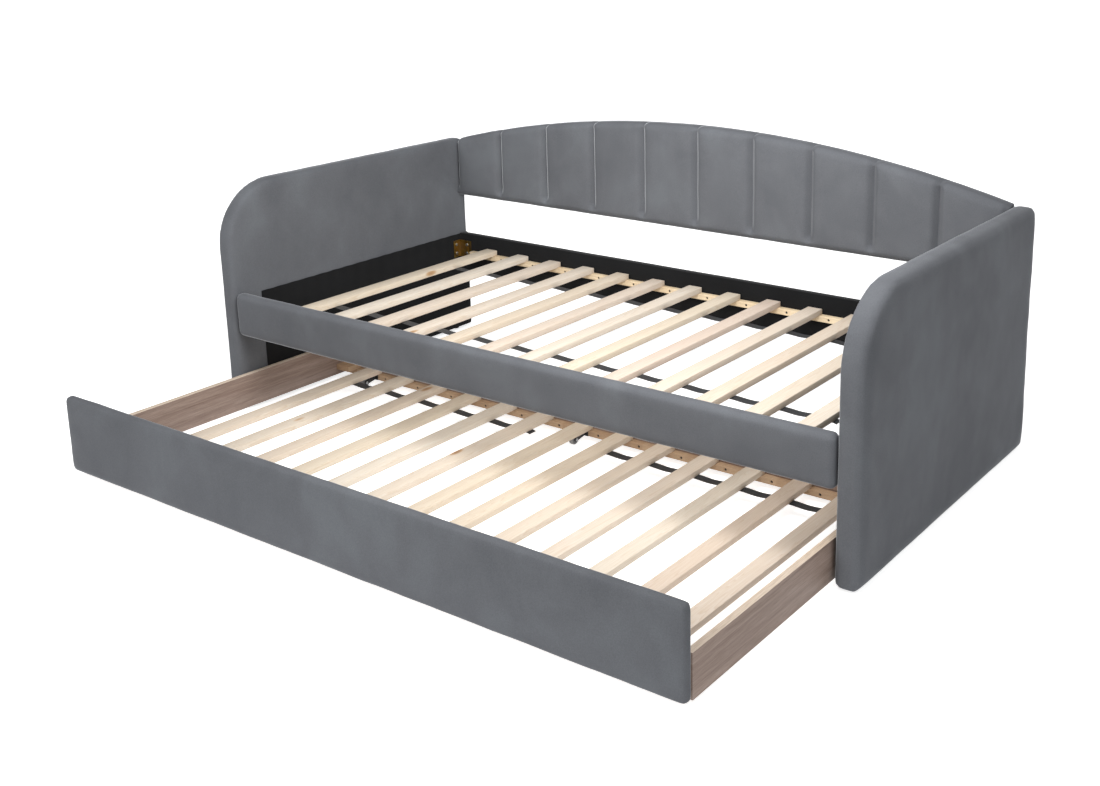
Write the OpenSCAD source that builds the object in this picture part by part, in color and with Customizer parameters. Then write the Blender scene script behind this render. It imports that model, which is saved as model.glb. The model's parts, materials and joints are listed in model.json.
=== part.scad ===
// Daybed with a pull-out trundle, shown with the trundle drawn out.
// Origin: middle of the footprint at floor level. X runs along the bed,
// Y from the front to the back, Z up. Millimetres.

/* [Bed] */
// Overall length, outside of arm to outside of arm
bed_w = 2150; // [2100:10:2250]
// Overall depth of the arms
bed_d = 1035; // [1010:5:1080]
// Height of the arms
arm_h = 700; // [650:5:760]
// Thickness of an upholstered arm
arm_t = 65; // [55:1:75]
// Radius of the arm's front top corner
arm_r = 195; // [120:5:240]
// Height of the back panel at its middle
back_h = 830; // [760:5:860]
// Height of the back panel's lower edge
back_z = 498; // [470:2:520]
// Thickness of the back panel
back_t = 55; // [50:1:60]
// Number of sewn channels in the back panel
channels = 10; // [6:1:12]

/* [Rails and deck] */
// Height of a side rail board
rail_h = 136; // [120:1:150]
// Thickness of the upholstered front rail
front_rail_t = 37; // [32:1:45]
// Thickness of the rear rail
rear_rail_t = 25; // [20:1:30]
// Number of slats in each deck
slats = 13; // [11:1:14]
// Width of a slat
slat_w = 48; // [40:1:60]
// Thickness of a deck slat
slat_t = 18; // [16:1:20]
// Distance between slat centres
slat_pitch = 143; // [136:1:144]
// Sideways shift of the laid slats
slat_shift = 5; // [0:1:12]
// Height of the deck, at the top of its slats
deck_z = 320; // [310:1:326]

/* [Trundle] */
// How far the trundle is drawn out
drawn = 579; // [400:1:620]
// Height of the trundle's front panel
panel_h = 217; // [200:1:220]
// Thickness of the trundle's front panel
panel_t = 29; // [26:1:34]
// Depth of the trundle behind its front panel
box_d = 978; // [940:1:1000]
// Height of the trundle's boards
board_h = 102; // [90:1:120]
// Thickness of the trundle's boards
board_t = 18; // [15:1:20]
// Diameter of a caster wheel
wheel_d = 32; // [28:1:33]
// Width of a caster wheel
wheel_w = 14; // [12:1:16]

/* [Hidden] */
$fn = 48;
arm_x = bed_w / 2 - arm_t;          // inner face of an arm
front_y = (drawn - bed_d) / 2;      // front of the arms
rear_y = front_y + bed_d;           // back of the arms
glide_h = 5;
glide_r = 12;
glide_in = 60;                      // arm's end to a glide's middle
cover_t = 9;                        // foam and velvet over a frame
skin_t = 3;                         // hardboard skin
member = 42;                        // width of a frame member
cloth_t = 1;
lining_y = 102;                     // where the arm lining starts
lining_z = 358;
rail_z = 238;                       // lower edge of the front rail
rear_rail_z = 224;
rear_rail_y = front_y + 984;        // front face of the rear rail
ledger_d = 20;
ledger_h = 18;
ledger_half = 946;                  // half length of a deck ledger
slat_gap = 4;                       // slat end to the rail behind it
strap_w = 28;
strap_t = 1.2;
deck_strap_y = 267;                 // strap to the middle of the deck
box_strap_y = 365;                  // strap to the middle of the trundle
bracket_t = 2.5;
bracket_leg = 34;
bracket_long = 54;
bracket_h = 61;
bolt_r = 3;
bolt_free = 0.1;
head_r = 5.5;
head_h = 3;
bolt_end = 15;                      // bracket's end to a bolt
rail_bolt_x = 36;                   // corner to the bolt in the rail
rail_bolt_l = 22;
arm_bolt_y = 21;                    // corner to the bolt in the arm
arm_bolt_l = 34;
dowel_r = 5;
dowel_l = 64;
dowel_y = 16;                       // panel's rear face to a dowel
dowel_low = 34;                     // panel's lower edge to the lower dowel
dowel_high = 50;                    // arm's top to the upper dowel
back_wrap = 12;                     // edge of the back panel to its frame
back_rear = 30;                     // panel's rear face to the front of its frame
cloth_in = 5;                       // edge of the back panel to its rear cloth
seam_d = 9;
rail_wrap = 6;                      // end and edge of a padded rail to its board
rail_pad = 12;                      // front of the front rail to its board
panel_pad = 8;                      // front of the trundle panel to its board
screw_r = 2;
screw_head_r = 3.9;
screw_reach = 34;                   // ledger face to the bottom of a screw hole
sunk = 6;                           // depth of the hole for a screw's head
bay_shift = 18;                     // screw to the middle of its bay
box_screw_z = 26;                   // edge of a side board to its screw
box_screw_l = 42;
box_screw_in = 44;                  // outside of a side board to the end of its screw
box_head_in = 3;                    // outside of a side board to the bottom of its screw's head
box_head_h = 2.6;
board_z = 16;                       // lower edge of the trundle's boards
panel_z = 14;
panel_half = arm_x - 3;
box_half = arm_x - 7;               // outside of the trundle's side boards
box_y = front_y - drawn + panel_t;  // back of the trundle's front panel
box_rear = box_y + box_d;
box_slat_t = 17;
block_l = 56;                       // corner block in the slat layer
axle_r = 3;
axle_free = 0.05;
plate_t = 2;
fork_gap = 1;                       // wheel side to fork ear
fork_reach = 38;                    // ledger to axle
fork_half = 23;                     // half width of a fork's plate
fork_nose = 7;                      // radius of a fork's ear at the axle
caster_x = 855;
caster_screw_x = 17;                // middle of a plate to its screw
caster_screw_l = 16;
caster_head_h = 2;
axle_out = 1;                       // end of an axle past its fork
clip_gap = 0.6;                     // fork to the clip on an axle's end
clip_t = 1.9;
clip_wall = 1.5;                    // how far a clip stands out from its axle
wheel_edge = 2;                     // chamfer at a wheel's rim
wheel_dish = 2;                     // depth of the ring sunk in a wheel's side
wheel_rim = 5;
wheel_hub = 2.5;
channel_w = 2 * arm_x / channels;
arch_rise = back_h - arm_h;
arch_r = (arm_x * arm_x + arch_rise * arch_rise) / (2 * arch_rise);

// A box given by its lowest and highest corners.
module block(lo, hi) translate(lo) cube(hi - lo);

// A round bar along X or Y, from a point.
module bar_x(p, r, l) translate(p) rotate([0, 90, 0]) cylinder(r = r, h = l);
module bar_y(p, r, l) translate(p) rotate([-90, 0, 0]) cylinder(r = r, h = l);

// Centre of slat i, counted from 0 at the left.
function slat_x(i) = (i - (slats - 1) / 2) * slat_pitch + slat_shift;

// ---- Arms ----
// Side outline of an arm, drawn in by inset, with its foot left at the floor line when open.
module arm_outline(inset, open = false) {
  r = arm_r - inset;
  low = open ? glide_h - 1 : glide_h + inset;
  high = arm_h - inset;
  translate([inset + r, low]) square([bed_d - 2 * inset - r, high - low]);
  translate([inset, low]) square([r + 1, high - r - low]);
  translate([inset + r, high - r]) circle(r, $fn = 96);
}
// The outline turned upright and made t thick, from the inner face outwards, on the right arm.
module arm_slab(inset, from, t, open = false)
  translate([arm_x + from, front_y, 0]) rotate([90, 0, 90])
    linear_extrude(t) arm_outline(inset, open);
module on_left() mirror([1, 0, 0]) children();
module arm_cover() color("#6f7277") difference() {
  arm_slab(0, 0, arm_t);
  arm_slab(cover_t, cover_t, arm_t - 2 * cover_t, true);
  bolt_holes();
  dowels(dowel_r + bolt_free);
}
module arm_skins() color("#7a5a3c") difference() {
  union() {
    arm_slab(cover_t, cover_t, skin_t);
    arm_slab(cover_t, arm_t - cover_t - skin_t, skin_t);
  }
  bolt_holes();
  dowels(dowel_r + bolt_free);
}
// Timber frame between the skins: rim, one rail at the deck and one upright at the back panel.
module arm_frame() {
  depth = arm_t - 2 * (cover_t + skin_t);
  color("#c9a877") difference() {
    arm_slab(cover_t, cover_t + skin_t, depth);
    difference() {
      arm_slab(cover_t + member, cover_t + skin_t - 1, depth + 2);
      block([arm_x, front_y, rear_rail_z], [arm_x + arm_t, rear_y, rail_z + rail_h]);
    }
    bolt_holes();
    dowels(dowel_r + bolt_free);
  }
}
module arm_lining() color("#17181b") difference() {
  block([arm_x - cloth_t, front_y + lining_y, glide_h], [arm_x, rear_y - 4, lining_z]);
  bolt_holes();
}
module arm_glides() color("#1b1b1b")
  for (side = [-1, 1], y = [front_y + glide_in, rear_y - glide_in])
    translate([side * (arm_x + arm_t / 2), y, 0]) cylinder(r = glide_r, h = glide_h + cover_t);

// ---- Back panel ----
// Front view of the arched panel, drawn in by inset.
module back_outline(inset) intersection() {
  translate([-arm_x + inset, back_z + inset]) square([2 * (arm_x - inset), back_h]);
  translate([0, back_h - arch_r]) circle(arch_r - inset, $fn = 720);
}
// The outline stood up as a slab, from a distance ahead of the panel's rear face.
module back_slab(inset, from, t)
  translate([0, rear_y - from + t, 0]) rotate([90, 0, 0]) linear_extrude(t) back_outline(inset);
module back_panel_cover() {
  color("#6f7277") difference() {
    back_slab(0, back_t, back_t - 2);
    back_slab(back_wrap, back_rear, back_rear);
    for (i = [1 : channels - 1])
      translate([-arm_x + i * channel_w, rear_y - back_t, back_z - 1]) rotate([0, 0, 45])
        translate([-seam_d / 2, -seam_d / 2, 0]) cube([seam_d, seam_d, back_h]);
    dowels(dowel_r + bolt_free);
  }
}
module back_panel_frame() color("#c9a877") difference() {
  back_slab(back_wrap, back_rear, back_rear - 2);
  difference() {
    back_slab(back_wrap + member, back_rear + 1, back_rear);
    for (x = [-arm_x / 3, arm_x / 3])
      block([x - member / 2, rear_y - 40, back_z], [x + member / 2, rear_y, back_h]);
  }
  dowels(dowel_r + bolt_free);
}
module back_panel_cloth() color("#1d1e20") back_slab(cloth_in, 2, 2);
// Steel dowels that join the back panel's ends to the arms.
module dowels(r)
  for (side = [-1, 1], z = [back_z + dowel_low, arm_h - dowel_high])
    bar_x([side * arm_x - dowel_l / 2, rear_y - dowel_y, z], r, dowel_l);
module back_panel_dowels() color("#b4b7ba") dowels(dowel_r);

// ---- Rails ----
module front_rail_cover() color("#6f7277") difference() {
  block([-arm_x, front_y, rail_z], [arm_x, front_y + front_rail_t, rail_z + rail_h]);
  block([-arm_x + rail_wrap, front_y + rail_pad, rail_z + rail_wrap],
        [arm_x - rail_wrap, front_y + front_rail_t + 1, rail_z + rail_h - rail_wrap]);
}
module front_rail_board() color("#c9a877") difference() {
  block([-arm_x + rail_wrap, front_y + rail_pad, rail_z + rail_wrap],
        [arm_x - rail_wrap, front_y + front_rail_t, rail_z + rail_h - rail_wrap]);
  bolt_holes();
  deck_ledger_holes();
}
module rear_rail_board() color("#c9a877") difference() {
  block([-arm_x + cloth_t + 1, rear_rail_y + cloth_t, rear_rail_z + cloth_t],
        [arm_x - cloth_t - 1, rear_rail_y + rear_rail_t - cloth_t, rear_rail_z + rail_h - cloth_t]);
  bolt_holes();
  deck_ledger_holes();
}
module rear_rail_cloth() color("#17181b") difference() {
  block([-arm_x + cloth_t, rear_rail_y, rear_rail_z],
        [arm_x - cloth_t, rear_rail_y + rear_rail_t, rear_rail_z + rail_h]);
  block([-arm_x, rear_rail_y + cloth_t, rear_rail_z + cloth_t],
        [arm_x, rear_rail_y + rear_rail_t - cloth_t, rear_rail_z + rail_h - cloth_t]);
  bolt_holes();
  deck_ledger_holes();
}

// ---- Ledgers and their screws ----
// Places its children once in each gap between slats.
module each_bay()
  for (i = [0 : slats - 2])
    translate([(slat_x(i) + slat_x(i + 1)) / 2 - bay_shift, 0, 0]) children();
// Screw holes through a ledger that lies against y = back and faces along dir.
module ledger_holes(back, dir, z) {
  face = back + dir * ledger_d;
  zc = z + ledger_h / 2;
  each_bay() {
    bar_y([0, min(face, face - dir * screw_reach), zc], screw_r + bolt_free, screw_reach);
    bar_y([0, min(face, face - dir * sunk), zc], screw_head_r + bolt_free, sunk);
  }
}
// The screws in those holes, with their heads below the ledger's face.
module ledger_screw_row(back, dir, z) {
  face = back + dir * ledger_d;
  zc = z + ledger_h / 2;
  each_bay() {
    bar_y([0, min(face - dir * screw_reach, face - dir * sunk), zc], screw_r, screw_reach - sunk);
    bar_y([0, min(face - dir * sunk, face - dir * sunk / 2), zc], screw_head_r, sunk / 2);
  }
}
module ledger(back, dir, z, half) difference() {
  block([-half, min(back, back + dir * ledger_d), z],
        [half, max(back, back + dir * ledger_d), z + ledger_h]);
  ledger_holes(back, dir, z);
}
ledger_z = deck_z - slat_t - ledger_h;
module deck_ledger_holes() {
  ledger_holes(front_y + front_rail_t, 1, ledger_z);
  ledger_holes(rear_rail_y, -1, ledger_z);
}
module front_ledger() color("#e6d3b4")
  ledger(front_y + front_rail_t, 1, ledger_z, ledger_half);
module rear_ledger() color("#e6d3b4") ledger(rear_rail_y, -1, ledger_z, ledger_half);
module ledger_screws() color("#2a2a2c") {
  ledger_screw_row(front_y + front_rail_t, 1, ledger_z);
  ledger_screw_row(rear_rail_y, -1, ledger_z);
}

// ---- Corner brackets and bolts ----
bracket_z = 275;
bolt_zs = [bracket_z + bolt_end, bracket_z + bracket_h - bolt_end];
// An L bracket at the right end of a rail: p is the inside corner, dir points away from the rail.
module bracket(p, dir) color("#9c7a33") difference() {
  union() {
    block([p.x - bracket_long, min(p.y, p.y + dir * bracket_t), bracket_z],
          [p.x, max(p.y, p.y + dir * bracket_t), bracket_z + bracket_h]);
    block([p.x - bracket_t, min(p.y, p.y + dir * bracket_leg), bracket_z],
          [p.x, max(p.y, p.y + dir * bracket_leg), bracket_z + bracket_h]);
  }
  bolt_holes();
}
front_corner = [arm_x, front_y + front_rail_t];
rear_corner = [arm_x - cloth_t, rear_rail_y];
// Bolts of the two right-hand brackets: one pair into the rail, one pair into the arm.
module right_bolts(r, head)
  for (z = bolt_zs, c = [[front_corner, 1], [rear_corner, -1]]) {
    p = c[0];
    dir = c[1];
    face = p.y + dir * bracket_t;
    bar_y([p.x - rail_bolt_x, dir > 0 ? face - rail_bolt_l : face, z], r, rail_bolt_l);
    bar_x([p.x - bracket_t, p.y + dir * arm_bolt_y, z], r, arm_bolt_l);
    if (head > 0) {
      bar_y([p.x - rail_bolt_x, dir > 0 ? face : face - head_h, z], head, head_h);
      bar_x([p.x - bracket_t - head_h, p.y + dir * arm_bolt_y, z], head, head_h);
    }
  }
module bolt_holes() {
  right_bolts(bolt_r + bolt_free, 0);
  on_left() right_bolts(bolt_r + bolt_free, 0);
}
module bracket_bolts() color("#c8cacc") {
  right_bolts(bolt_r, head_r);
  on_left() right_bolts(bolt_r, head_r);
}

// ---- Deck ----
module slat(i, y0, y1, z, t) color("#efe0c8")
  block([slat_x(i) - slat_w / 2, y0, z - t], [slat_x(i) + slat_w / 2, y1, z]);
module deck_slat(i)
  slat(i, front_y + front_rail_t + slat_gap, rear_rail_y - slat_gap, deck_z, slat_t);
// A webbing strap under slats a to b.
module strap(a, b, y, z) color("#1a1b1d")
  block([slat_x(a) - slat_w / 4, y - strap_w / 2, z - strap_t],
        [slat_x(b) + slat_w / 4, y + strap_w / 2, z]);
module deck_straps() {
  mid = (front_y + front_rail_t + rear_rail_y) / 2;
  for (side = [-1, 1]) strap(0, slats - 1, mid + side * deck_strap_y, deck_z - slat_t);
}

// ---- Trundle box ----
module trundle_panel_cover() color("#6f7277") difference() {
  block([-panel_half, box_y - panel_t, panel_z], [panel_half, box_y, panel_z + panel_h]);
  block([-panel_half + rail_wrap, box_y - panel_t + panel_pad, panel_z + rail_wrap],
        [panel_half - rail_wrap, box_y + 1, panel_z + panel_h - rail_wrap]);
}
module trundle_panel_board() color("#8f7b70") difference() {
  block([-panel_half + rail_wrap, box_y - panel_t + panel_pad, panel_z + rail_wrap],
        [panel_half - rail_wrap, box_y, panel_z + panel_h - rail_wrap]);
  ledger_holes(box_y, 1, board_z);
}
module trundle_right_board() color("#8f7b70") difference() {
  block([box_half - board_t, box_y, board_z], [box_half, box_rear, board_z + board_h]);
  box_screws(screw_r + bolt_free, screw_head_r + bolt_free);
}
module trundle_left_board() on_left() trundle_right_board();
module trundle_rear_board() color("#8f7b70") difference() {
  block([-box_half + board_t, box_rear - board_t, board_z],
        [box_half - board_t, box_rear, board_z + board_h]);
  box_screws(screw_r + bolt_free, 0);
  on_left() box_screws(screw_r + bolt_free, 0);
  ledger_holes(box_rear - board_t, -1, board_z);
}
module trundle_front_ledger() color("#b59a80") difference() {
  ledger(box_y, 1, board_z, box_half - board_t);
  caster_screws(screw_r + bolt_free, 0);
}
module trundle_rear_ledger() color("#b59a80") difference() {
  ledger(box_rear - board_t, -1, board_z, box_half - board_t);
  caster_screws(screw_r + bolt_free, 0);
}
// Corner blocks on the ledgers, level with the slats, in the four inside corners.
module trundle_blocks() color("#5d4c3a")
  for (side = [-1, 1], y = [box_y, box_rear - board_t - block_l]) {
    x = side * (box_half - board_t - block_l / 2);
    block([x - block_l / 2, y, board_z + ledger_h],
          [x + block_l / 2, y + block_l, board_z + ledger_h + box_slat_t]);
  }
// Screws through the right side board into the rear board.
module box_screws(r, head)
  for (z = [board_z + box_screw_z, board_z + board_h - box_screw_z]) {
    bar_x([box_half - box_screw_in, box_rear - board_t / 2, z], r, box_screw_l);
    if (head > 0) bar_x([box_half - box_head_in, box_rear - board_t / 2, z], head, box_head_in + 1);
  }
module box_screw_bodies()
  for (z = [board_z + box_screw_z, board_z + board_h - box_screw_z]) {
    bar_x([box_half - box_screw_in, box_rear - board_t / 2, z], screw_r, box_screw_l);
    bar_x([box_half - box_head_in, box_rear - board_t / 2, z], screw_head_r, box_head_h);
  }
module trundle_screws() color("#2a2a2c") {
  box_screw_bodies();
  on_left() box_screw_bodies();
  ledger_screw_row(box_y, 1, board_z);
  ledger_screw_row(box_rear - board_t, -1, board_z);
  caster_screws(screw_r, screw_head_r);
}
module box_slats(a, b)
  for (i = [a : b])
    slat(i, box_y + slat_gap, box_rear - board_t - slat_gap, board_z + ledger_h + box_slat_t,
         box_slat_t);
module trundle_straps() {
  mid = (box_y + box_rear - board_t) / 2;
  for (y = [mid - box_strap_y, mid + box_strap_y]) {
    strap(0, 5, y, board_z + ledger_h);
    strap(7, slats - 1, y, board_z + ledger_h);
  }
}

// ---- Casters ----
// Each caster: x along the bed, back is the ledger face it is screwed to, dir points to the wheel.
rear_face = box_rear - board_t - ledger_d;
front_face = box_y + ledger_d;
casters = [for (row = [[front_face, 1], [rear_face, -1]], x = [-caster_x, 0, caster_x])
  [x, row[0], row[1]]];
axle_z = wheel_d / 2;
function axle_y(c) = c[1] + c[2] * fork_reach;
// Two screws for each caster, from the front of its plate into the ledger.
module caster_screws(r, head)
  for (c = casters, x = [c[0] - caster_screw_x, c[0] + caster_screw_x]) {
    face = c[1] + c[2] * plate_t;
    z = board_z + ledger_h / 2;
    bar_y([x, min(face, face - c[2] * caster_screw_l), z], r, caster_screw_l);
    if (head > 0) bar_y([x, min(face, face + c[2] * caster_head_h), z], head, caster_head_h);
  }
module caster_fork(c) {
  half = wheel_w / 2 + fork_gap;
  difference() {
    union() {
      block([c[0] - fork_half, min(c[1], c[1] + c[2] * plate_t), board_z],
            [c[0] + fork_half, max(c[1], c[1] + c[2] * plate_t), board_z + ledger_h]);
      for (x = [c[0] - half - plate_t, c[0] + half])
        translate([x, 0, 0]) rotate([90, 0, 90]) linear_extrude(plate_t) {
          polygon([[c[1], board_z], [c[1], board_z + ledger_h - 2],
                   [axle_y(c), axle_z + fork_nose], [axle_y(c), axle_z - fork_nose]]);
          translate([axle_y(c), axle_z]) circle(fork_nose);
        }
    }
    bar_x([c[0] - half - 4, axle_y(c), axle_z], axle_r + axle_free, 2 * half + 8);
    caster_screws(screw_r + bolt_free, 0);
  }
}
module caster_forks() color("#26272a") for (c = casters) caster_fork(c);
module caster_axles() color("#b4b7ba")
  for (c = casters) {
    half = wheel_w / 2 + fork_gap + plate_t;
    bar_x([c[0] - half - axle_out, axle_y(c), axle_z], axle_r, 2 * (half + axle_out));
    for (x = [c[0] - half - clip_gap - clip_t, c[0] + half + clip_gap])
      bar_x([x, axle_y(c), axle_z], axle_r + clip_wall, clip_t);
  }
module wheel(i) {
  c = casters[i];
  color("#8b8d90") difference() {
    translate([c[0] - wheel_w / 2, axle_y(c), axle_z]) rotate([0, 90, 0]) rotate_extrude($fn = 64)
      polygon([[0, 0], [wheel_d / 2 - wheel_edge, 0], [wheel_d / 2, wheel_edge],
               [wheel_d / 2, wheel_w - wheel_edge], [wheel_d / 2 - wheel_edge, wheel_w],
               [0, wheel_w]]);
    bar_x([c[0] - wheel_w, axle_y(c), axle_z], axle_r + axle_free, 2 * wheel_w);
    for (x = [c[0] - wheel_w / 2 - 1, c[0] + wheel_w / 2 - wheel_dish])
      translate([x, axle_y(c), axle_z]) rotate([0, 90, 0]) difference() {
        cylinder(r = wheel_d / 2 - wheel_rim, h = wheel_dish + 1);
        cylinder(r = axle_r + wheel_hub, h = wheel_dish + 1);
      }
  }
}

on_left() arm_cover();  // left_arm_cover
arm_cover();  // right_arm_cover
on_left() arm_skins();  // left_arm_skins
arm_skins();  // right_arm_skins
on_left() arm_frame();  // left_arm_frame
arm_frame();  // right_arm_frame
on_left() arm_lining();  // left_arm_lining
arm_lining();  // right_arm_lining
arm_glides();
back_panel_cover();
back_panel_frame();
back_panel_cloth();
back_panel_dowels();
front_rail_cover();
front_rail_board();
rear_rail_board();
rear_rail_cloth();
front_ledger();
rear_ledger();
ledger_screws();
on_left() bracket(front_corner, 1);  // front_left_bracket
bracket(front_corner, 1);  // front_right_bracket
on_left() bracket(rear_corner, -1);  // rear_left_bracket
bracket(rear_corner, -1);  // rear_right_bracket
bracket_bolts();
deck_straps();
deck_slat(0);  // deck_slat_1
deck_slat(1);  // deck_slat_2
deck_slat(2);  // deck_slat_3
deck_slat(3);  // deck_slat_4
deck_slat(4);  // deck_slat_5
deck_slat(5);  // deck_slat_6
deck_slat(6);  // deck_slat_7
deck_slat(7);  // deck_slat_8
deck_slat(8);  // deck_slat_9
deck_slat(9);  // deck_slat_10
deck_slat(10);  // deck_slat_11
deck_slat(11);  // deck_slat_12
deck_slat(12);  // deck_slat_13
trundle_panel_cover();
trundle_panel_board();
trundle_left_board();
trundle_right_board();
trundle_rear_board();
trundle_front_ledger();
trundle_rear_ledger();
trundle_blocks();
trundle_screws();
box_slats(0, 5);  // trundle_left_slats
box_slats(6, 6);  // trundle_middle_slat
box_slats(7, slats - 1);  // trundle_right_slats
trundle_straps();
caster_forks();
caster_axles();
wheel(0);  // front_left_wheel
wheel(1);  // front_middle_wheel
wheel(2);  // front_right_wheel
wheel(3);  // rear_left_wheel
wheel(4);  // rear_middle_wheel
wheel(5);  // rear_right_wheel
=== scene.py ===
# Upholstered daybed with a pull-out trundle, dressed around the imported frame.
import json
import math
import random

import bmesh
import bpy
import numpy as np
from mathutils import Matrix, Vector, noise


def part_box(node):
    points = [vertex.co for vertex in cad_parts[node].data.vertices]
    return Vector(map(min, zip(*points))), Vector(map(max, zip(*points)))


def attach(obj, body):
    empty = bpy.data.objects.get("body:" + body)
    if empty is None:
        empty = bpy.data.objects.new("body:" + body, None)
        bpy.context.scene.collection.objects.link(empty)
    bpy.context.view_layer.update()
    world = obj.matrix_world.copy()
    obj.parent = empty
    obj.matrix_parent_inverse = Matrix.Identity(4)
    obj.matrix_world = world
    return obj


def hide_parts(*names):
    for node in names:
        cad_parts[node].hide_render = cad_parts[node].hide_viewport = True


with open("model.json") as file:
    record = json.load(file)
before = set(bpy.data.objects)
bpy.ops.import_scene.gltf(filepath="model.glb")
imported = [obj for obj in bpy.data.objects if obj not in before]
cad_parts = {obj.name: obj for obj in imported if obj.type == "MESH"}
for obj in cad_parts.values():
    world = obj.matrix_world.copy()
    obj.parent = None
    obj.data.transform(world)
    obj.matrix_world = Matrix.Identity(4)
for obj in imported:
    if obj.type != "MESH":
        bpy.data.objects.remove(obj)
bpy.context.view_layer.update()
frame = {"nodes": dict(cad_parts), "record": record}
nodes = frame["nodes"]
print("frame loaded:", len(nodes), "nodes")

camera = {
    "place": (2.268, -2.688, 1.499),
    "azimuth": 0.609,            # turn from +Y towards -X, radians
    "tilt": -0.252,
    "roll": -0.009,
    "lens": 44.15,
    "shift": (-0.10, -0.13),
}
studio = {
    "floor": "#f2f2f2",
    "floorGlow": 0.25,           # the floor is a light table
    "floorSeen": 0.75,           # and looks brighter than it lights, so that little shadow shows on it
    "floorSize": 60.0,
    "roomLight": 0.12,           # strength of the light from the white walls
    "wallSeen": 1.0,             # how bright those walls look
    # name: direction that the light comes from, how wide the source is in degrees, strength
    "lamps": {
        "frontLamp": ((-0.35, -0.75, 0.55), 40, 1.25),
        "leftLamp": ((-0.75, -0.35, 0.60), 40, 0.35),
        "rightLamp": ((0.72, -0.52, 0.30), 60, 1.25),
        "topLamp": ((0.10, -0.12, 1.00), 80, 0.40),
    },
    # a soft box over the deck: place, what it is aimed at, width, power in watts
    "softBox": ((0.72, -0.50, 1.65), (-1.0, 0.35, 0.5), 1.0, 35),
}


def linear(text):
    # sRGB hex to the linear colour that a shader reads
    steps = [int(text[i:i + 2], 16) / 255 for i in (1, 3, 5)]
    return tuple(s / 12.92 if s <= 0.04045 else ((s + 0.055) / 1.055) ** 2.4 for s in steps) + (1.0,)


def addNode(tree, kind, settings=None, links=None):
    # settings name a property or an input; links name an input and the output it reads
    made = tree.nodes.new("ShaderNode" + kind)
    for key, value in (settings or {}).items():
        if isinstance(key, str) and hasattr(made, key):
            setattr(made, key, value)
        else:
            made.inputs[key].default_value = value
    for key, source in (links or {}).items():
        tree.links.new(source, made.inputs[key])
    return made


def setCamera(facts):
    made = bpy.data.objects.new("camera", bpy.data.cameras.new("camera"))
    bpy.context.scene.collection.objects.link(made)
    turn = Matrix.Rotation(facts["azimuth"], 4, "Z")
    tilt = Matrix.Rotation(math.pi / 2 + facts["tilt"], 4, "X")
    roll = Matrix.Rotation(facts["roll"], 4, "Z")
    made.matrix_world = Matrix.Translation(facts["place"]) @ turn @ tilt @ roll
    made.data.lens = facts["lens"]
    made.data.shift_x, made.data.shift_y = facts["shift"]
    made.data.clip_end = 100
    bpy.context.scene.camera = made


def addLamp(name, kind, place, direction, power):
    lamp = bpy.data.lights.new(name, kind)
    lamp.energy = power
    made = bpy.data.objects.new(name, lamp)
    bpy.context.scene.collection.objects.link(made)
    made.matrix_world = Matrix.Translation(place) @ direction.to_track_quat("Z", "Y").to_matrix().to_4x4()
    return made


def setStudio(facts):
    world = bpy.data.worlds.new("studio")
    bpy.context.scene.world = world
    world.use_nodes = True
    tree = world.node_tree
    light = tree.nodes["Background"]
    light.inputs["Color"].default_value = (1, 1, 1, 1)
    light.inputs["Strength"].default_value = facts["roomLight"]
    seen = addNode(tree, "Background", {"Color": (1, 1, 1, 1), "Strength": facts["wallSeen"]})
    rays = addNode(tree, "LightPath").outputs["Is Camera Ray"]
    both = addNode(tree, "MixShader", None, {0: rays, 1: light.outputs[0], 2: seen.outputs[0]})
    tree.links.new(both.outputs[0], tree.nodes["World Output"].inputs["Surface"])
    for name, (direction, width, power) in facts["lamps"].items():
        made = addLamp(name, "SUN", Vector(direction) * 4, Vector(direction), power)
        made.data.angle = math.radians(width)
    place, target, width, power = facts["softBox"]
    made = addLamp("softBox", "AREA", Vector(place), Vector(place) - Vector(target), power)
    made.data.size = width
    made.visible_camera = False
    bpy.ops.mesh.primitive_plane_add(size=facts["floorSize"], location=(0, 0, -0.0005))
    floor = bpy.context.object
    floor.name = "floor"
    paint = bpy.data.materials.new("pale studio floor")
    paint.use_nodes = True
    shader = paint.node_tree.nodes["Principled BSDF"]
    shader.inputs["Base Color"].default_value = linear(facts["floor"])
    shader.inputs["Roughness"].default_value = 0.9
    shader.inputs["Specular IOR Level"].default_value = 0.1
    shader.inputs["Emission Color"].default_value = (1, 1, 1, 1)
    rays = addNode(paint.node_tree, "LightPath").outputs["Is Camera Ray"]
    glow = addNode(paint.node_tree, "MapRange", {"To Min": facts["floorGlow"], "To Max": facts["floorSeen"]},
                   {"Value": rays}).outputs[0]
    paint.node_tree.links.new(glow, shader.inputs["Emission Strength"])
    floor.data.materials.append(paint)
    bpy.context.scene.view_settings.view_transform = "Standard"
    bpy.context.scene.view_settings.look = "None"


setCamera(camera)
setStudio(studio)
print("camera and studio set")


def startMaterial(name, **sockets):
    # a Principled shader with its plain values set on its own sockets
    made = bpy.data.materials.new(name)
    made.use_nodes = True
    shader = made.node_tree.nodes["Principled BSDF"]
    for key, value in sockets.items():
        shader.inputs[key.replace("_", " ")].default_value = value
    place = addNode(made.node_tree, "TexCoord").outputs["Object"]
    return made, made.node_tree, shader, place


def stretch(tree, place, scale):
    return addNode(tree, "Mapping", {"Scale": scale}, {"Vector": place}).outputs["Vector"]


def ramp(tree, factor, stops):
    made = addNode(tree, "ValToRGB", None, {"Fac": factor})
    marks = made.color_ramp.elements
    while len(marks) < len(stops):
        marks.new(0.5)
    for mark, (position, colour) in zip(marks, stops):
        mark.position = position
        mark.color = linear(colour)
    return made.outputs["Color"]


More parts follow.
